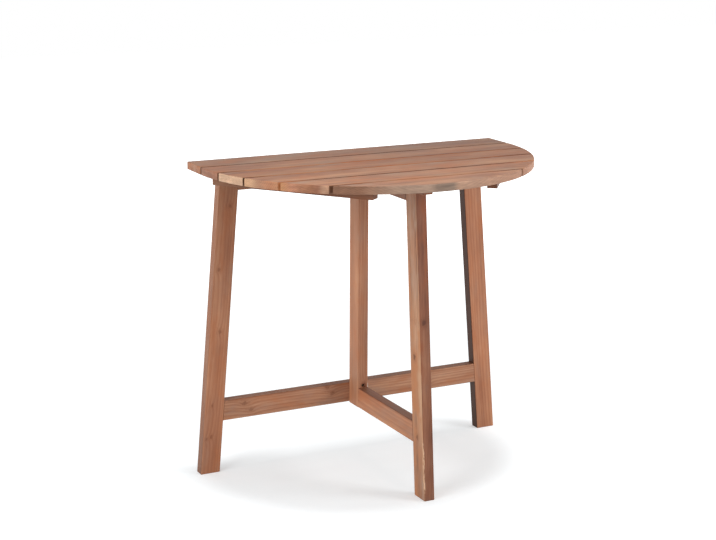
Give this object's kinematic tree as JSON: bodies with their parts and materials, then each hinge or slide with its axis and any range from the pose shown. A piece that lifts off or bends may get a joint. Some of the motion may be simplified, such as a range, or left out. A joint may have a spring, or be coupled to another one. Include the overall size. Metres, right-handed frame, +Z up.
{
  "type": "folding half-round table",
  "caption": "Half-round slatted wooden table: a drop leaf hinged to a fixed rear slat on a splayed frame, carried by a gate leg that swings out under it.",
  "frame": {"origin": "on the floor, under the middle of the table's box", "axes": "+Z up, +X along the straight rear edge to the right as seen from the round front, +Y to the rear"},
  "size_m": [0.7996, 0.487, 0.735],
  "materials": {
    "top_wood": "red-brown stain, satin",
    "frame_wood": "red-brown stain, satin",
    "dowel_wood": "raw",
    "hinge_steel": "zinc plated",
    "screw_steel": "zinc plated"
  },
  "bodies": {
    "frame": {"rear_slat": "top_wood", "left_leg": "frame_wood", "right_leg": "frame_wood", "upper_rail": "frame_wood", "lower_stretcher": "frame_wood", "frame_dowels": "dowel_wood", "rear_slat_screws": "screw_steel", "left_leaf_hinge_fixed_plate": "hinge_steel", "right_leaf_hinge_fixed_plate": "hinge_steel", "left_leaf_hinge_pin": "hinge_steel", "right_leaf_hinge_pin": "hinge_steel", "upper_gate_hinge_fixed_plate": "hinge_steel", "lower_gate_hinge_fixed_plate": "hinge_steel", "upper_gate_hinge_pin": "hinge_steel", "lower_gate_hinge_pin": "hinge_steel", "frame_hinge_screws": "screw_steel"},
    "leaf": {"leaf_slat_1": "top_wood", "leaf_slat_2": "top_wood", "leaf_slat_3": "top_wood", "leaf_slat_4": "top_wood", "leaf_slat_5": "top_wood", "left_batten": "frame_wood", "right_batten": "frame_wood", "stop_block": "frame_wood", "batten_screws": "screw_steel", "stop_block_screws": "screw_steel", "left_leaf_hinge_moving_plate": "hinge_steel", "right_leaf_hinge_moving_plate": "hinge_steel", "leaf_hinge_screws": "screw_steel"},
    "gate": {"gate_post": "frame_wood", "gate_leg": "frame_wood", "gate_upper_rail": "frame_wood", "gate_lower_rail": "frame_wood", "gate_dowels": "dowel_wood", "post_screw": "screw_steel", "upper_gate_hinge_moving_plate": "hinge_steel", "lower_gate_hinge_moving_plate": "hinge_steel", "gate_hinge_screws": "screw_steel"}
  },
  "joints": [
    {"name": "leaf_hinge", "type": "hinge", "parent": "frame", "child": "leaf", "pos_m": [0, 0.1585, 0.7137], "axis": [-1, 0, 0], "range_deg": [0, 12]},
    {"name": "gate_hinge", "type": "hinge", "parent": "frame", "child": "gate", "pos_m": [0.0163, 0.1882, 0.4], "axis": [0, 0, 1], "range_deg": [0, 90]}
  ]
}
